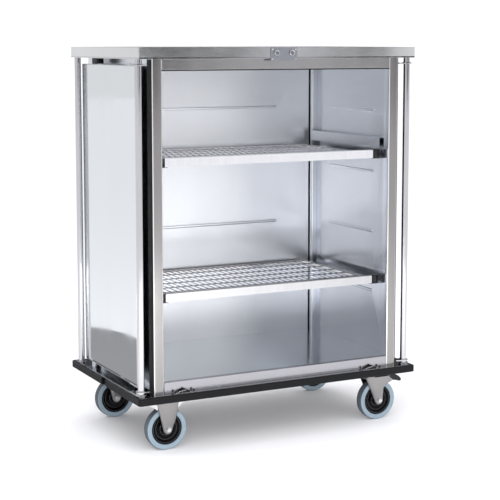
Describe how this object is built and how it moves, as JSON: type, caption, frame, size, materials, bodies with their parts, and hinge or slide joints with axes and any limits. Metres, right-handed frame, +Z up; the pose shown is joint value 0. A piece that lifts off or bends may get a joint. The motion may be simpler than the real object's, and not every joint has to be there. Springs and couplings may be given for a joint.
{
  "type": "closed transport trolley",
  "caption": "Stainless cabinet trolley on casters with wrap-around double doors, pull-out wire shelves, a bumper and upright push bars.",
  "frame": {"origin": "on the floor under the middle of the trolley's outer box", "axes": "+Z up; X along the trolley's length, +X towards the swivel casters; the doors are on the -Y side"},
  "size_m": [1.1906, 0.7086, 1.49],
  "materials": {
    "roof_steel": "fine brushed sheet, satin",
    "post_steel": "brushed square tube, satin",
    "wall_steel": "bright rolled sheet, nearly mirror",
    "door_steel": "bright rolled sheet, nearly mirror",
    "base_paint": "black paint, low sheen",
    "bright_tube": "polished tube and wire",
    "black_rubber": "satin black, fine grain",
    "black_plastic": "moulded, low sheen",
    "grey_tyre": "blue-grey non-marking rubber",
    "caster_steel": "pressed stainless plate, satin"
  },
  "bodies": {
    "cabinet": {"base_platform": "base_paint", "front_bumper": "black_rubber", "rear_bumper": "black_rubber", "sill_rail": "post_steel", "header_rail": "post_steel", "left_side_wall": "wall_steel", "right_side_wall": "wall_steel", "back_wall": "wall_steel", "cabinet_floor": "wall_steel", "roof_canopy": "roof_steel", "roof_soffit": "wall_steel", "lock_plate": "bright_tube", "left_door_keeper": "black_rubber", "right_door_keeper": "black_rubber", "left_door_catch": "black_plastic", "right_door_catch": "black_plastic", "upper_left_runner": "wall_steel", "upper_right_runner": "wall_steel", "lower_left_runner": "wall_steel", "lower_right_runner": "wall_steel", "front_left_post": "post_steel", "front_left_push_bar": "bright_tube", "front_right_post": "post_steel", "front_right_push_bar": "bright_tube", "rear_left_post": "post_steel", "rear_left_push_bar": "bright_tube", "rear_right_post": "post_steel", "rear_right_push_bar": "bright_tube", "front_left_caster_bracket": "caster_steel", "front_right_caster_plate": "caster_steel", "rear_left_caster_bracket": "caster_steel", "rear_right_caster_plate": "caster_steel"},
    "left_door": {"left_door_outer_skin": "door_steel", "left_door_inner_skin": "door_steel", "left_door_upper_arm": "bright_tube", "left_door_lower_arm": "bright_tube"},
    "right_door": {"right_door_outer_skin": "door_steel", "right_door_inner_skin": "door_steel", "right_door_upper_arm": "bright_tube", "right_door_lower_arm": "bright_tube"},
    "upper_shelf": {"upper_shelf_frame": "bright_tube", "upper_shelf_deck": "bright_tube"},
    "lower_shelf": {"lower_shelf_frame": "bright_tube", "lower_shelf_deck": "bright_tube"},
    "left_lock": {"left_lock_barrel": "bright_tube"},
    "right_lock": {"right_lock_barrel": "bright_tube"},
    "front_right_swivel": {"front_right_fork": "caster_steel"},
    "front_right_brake": {"front_right_brake_pedal": "black_plastic"},
    "front_left_wheel": {"front_left_tyre": "grey_tyre", "front_left_wheel_hub": "black_plastic"},
    "front_right_wheel": {"front_right_tyre": "grey_tyre", "front_right_wheel_hub": "black_plastic"},
    "rear_right_swivel": {"rear_right_fork": "caster_steel"},
    "rear_right_brake": {"rear_right_brake_pedal": "black_plastic"},
    "rear_left_wheel": {"rear_left_tyre": "grey_tyre", "rear_left_wheel_hub": "black_plastic"},
    "rear_right_wheel": {"rear_right_tyre": "grey_tyre", "rear_right_wheel_hub": "black_plastic"}
  },
  "joints": [
    {"name": "left_door_hinge", "type": "hinge", "parent": "cabinet", "child": "left_door", "pos_m": [-0.568, -0.309, 0.8], "axis": [0, 0, -1], "range_deg": [-270, 0]},
    {"name": "right_door_hinge", "type": "hinge", "parent": "cabinet", "child": "right_door", "pos_m": [0.568, -0.309, 0.8], "axis": [0, 0, 1], "range_deg": [-270, 0]},
    {"name": "upper_shelf_slide", "type": "slide", "parent": "cabinet", "child": "upper_shelf", "axis": [0, -1, 0], "range_m": [0, 0.3]},
    {"name": "lower_shelf_slide", "type": "slide", "parent": "cabinet", "child": "lower_shelf", "axis": [0, -1, 0], "range_m": [0, 0.3]},
    {"name": "left_lock_turn", "type": "hinge", "parent": "cabinet", "child": "left_lock", "pos_m": [-0.032, -0.3453, 1.469], "axis": [0, -1, 0], "range_deg": [0, 90]},
    {"name": "right_lock_turn", "type": "hinge", "parent": "cabinet", "child": "right_lock", "pos_m": [0.032, -0.3453, 1.469], "axis": [0, -1, 0], "range_deg": [0, 90]},
    {"name": "front_right_swivel_turn", "type": "hinge", "parent": "cabinet", "child": "front_right_swivel", "pos_m": [0.44, -0.255, 0.17], "axis": [0, 0, 1], "continuous": true},
    {"name": "front_right_wheel_spin", "type": "hinge", "parent": "front_right_swivel", "child": "front_right_wheel", "pos_m": [0.474, -0.255, 0.08], "axis": [0, 1, 0], "continuous": true},
    {"name": "front_right_brake_turn", "type": "hinge", "parent": "front_right_swivel", "child": "front_right_brake", "pos_m": [0.505, -0.255, 0.1685], "axis": [0, 1, 0], "range_deg": [0, 12]},
    {"name": "front_left_wheel_spin", "type": "hinge", "parent": "cabinet", "child": "front_left_wheel", "pos_m": [-0.45, -0.255, 0.08], "axis": [0, 1, 0], "continuous": true},
    {"name": "rear_right_swivel_turn", "type": "hinge", "parent": "cabinet", "child": "rear_right_swivel", "pos_m": [0.44, 0.255, 0.17], "axis": [0, 0, 1], "continuous": true},
    {"name": "rear_right_wheel_spin", "type": "hinge", "parent": "rear_right_swivel", "child": "rear_right_wheel", "pos_m": [0.474, 0.255, 0.08], "axis": [0, 1, 0], "continuous": true},
    {"name": "rear_right_brake_turn", "type": "hinge", "parent": "rear_right_swivel", "child": "rear_right_brake", "pos_m": [0.505, 0.255, 0.1685], "axis": [0, 1, 0], "range_deg": [0, 12]},
    {"name": "rear_left_wheel_spin", "type": "hinge", "parent": "cabinet", "child": "rear_left_wheel", "pos_m": [-0.45, 0.255, 0.08], "axis": [0, 1, 0], "continuous": true}
  ]
}
